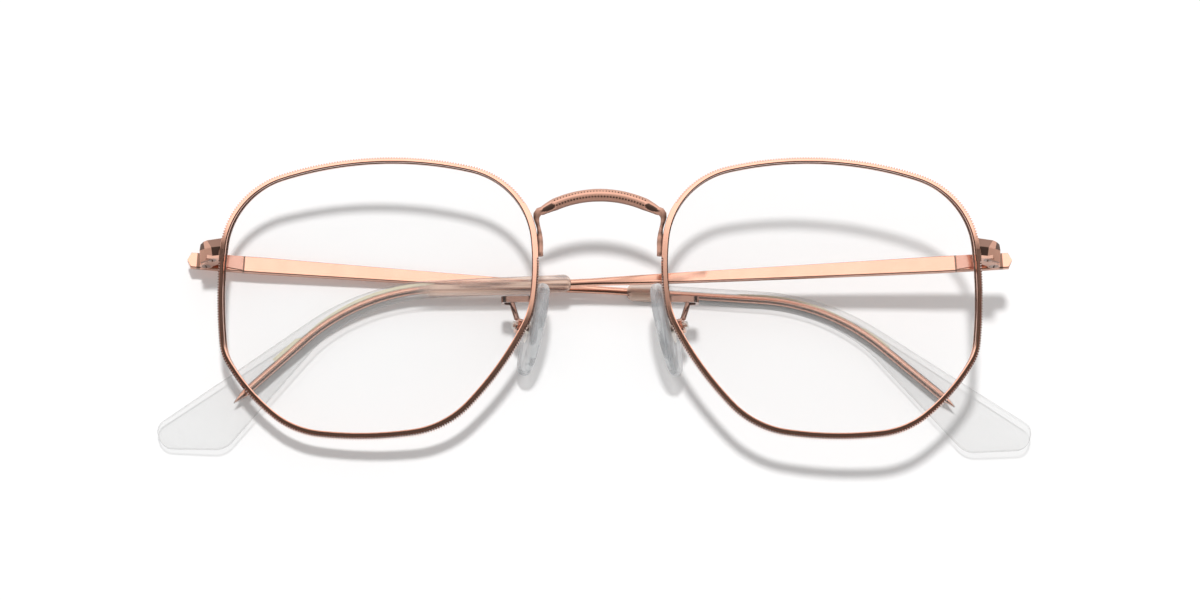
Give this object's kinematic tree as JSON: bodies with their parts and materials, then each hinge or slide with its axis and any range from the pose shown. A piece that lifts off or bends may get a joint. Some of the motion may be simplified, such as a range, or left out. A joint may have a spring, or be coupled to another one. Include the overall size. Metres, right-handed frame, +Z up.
{
  "type": "eyeglasses",
  "caption": "Folded metal eyeglasses with rounded hexagonal lenses, a high arched bridge, screw-on nose pads and slim temples with clear plastic tips.",
  "frame": {"origin": "centre of the bounding box's footprint on the table, with the glasses folded and lying lens-up", "axes": "+Z up from the table through the lens fronts, +Y towards the brow edge, +X across the front towards the wearer's left"},
  "size_m": [0.143, 0.047, 0.0189],
  "materials": {
    "bronze_metal": "polished rose-gold and brown plating",
    "screw_steel": "satin",
    "clear_lens": "clear demo lens",
    "clear_tip": "clear polished acetate",
    "clear_pad": "clear soft plastic"
  },
  "bodies": {
    "front": {"bridge": "bronze_metal", "rim_left": "bronze_metal", "lens_left": "clear_lens", "endpiece_left": "bronze_metal", "closing_block_upper_left": "bronze_metal", "closing_block_lower_left": "bronze_metal", "closing_screw_left": "screw_steel", "front_hinge_left": "bronze_metal", "hinge_screw_left": "screw_steel", "pad_arm_left": "bronze_metal", "pad_box_left": "bronze_metal", "rim_right": "bronze_metal", "lens_right": "clear_lens", "endpiece_right": "bronze_metal", "closing_block_upper_right": "bronze_metal", "closing_block_lower_right": "bronze_metal", "closing_screw_right": "screw_steel", "front_hinge_right": "bronze_metal", "hinge_screw_right": "screw_steel", "pad_arm_right": "bronze_metal", "pad_box_right": "bronze_metal"},
    "temple_left": {"temple_hinge_left": "bronze_metal", "temple_bar_left": "bronze_metal", "temple_tip_left": "clear_tip"},
    "pad_left": {"nose_pad_left": "clear_pad", "pad_boss_left": "screw_steel", "pad_screw_left": "screw_steel"},
    "temple_right": {"temple_hinge_right": "bronze_metal", "temple_bar_right": "bronze_metal", "temple_tip_right": "clear_tip"},
    "pad_right": {"nose_pad_right": "clear_pad", "pad_boss_right": "screw_steel", "pad_screw_right": "screw_steel"}
  },
  "joints": [
    {"name": "temple_left_fold", "type": "hinge", "parent": "front", "child": "temple_left", "pos_m": [0.06476, 0.0072, 0.01291], "axis": [-0.0103, -0.9999, 0.0065], "range_deg": [0, 87.9]},
    {"name": "temple_right_fold", "type": "hinge", "parent": "front", "child": "temple_right", "pos_m": [-0.06416, 0.00848, 0.00449], "axis": [0.0103, 0.9999, -0.0065], "range_deg": [0, 84.3]},
    {"name": "pad_left_swivel", "type": "hinge", "parent": "front", "child": "pad_left", "pos_m": [0.01396, -0.00357, 0.00863], "axis": [0.9278, 0.1245, 0.3518], "range_deg": [-5, 5]},
    {"name": "pad_right_swivel", "type": "hinge", "parent": "front", "child": "pad_right", "pos_m": [-0.01346, -0.0033, 0.00684], "axis": [-0.963, 0.1432, 0.2283], "range_deg": [-5, 5]}
  ]
}
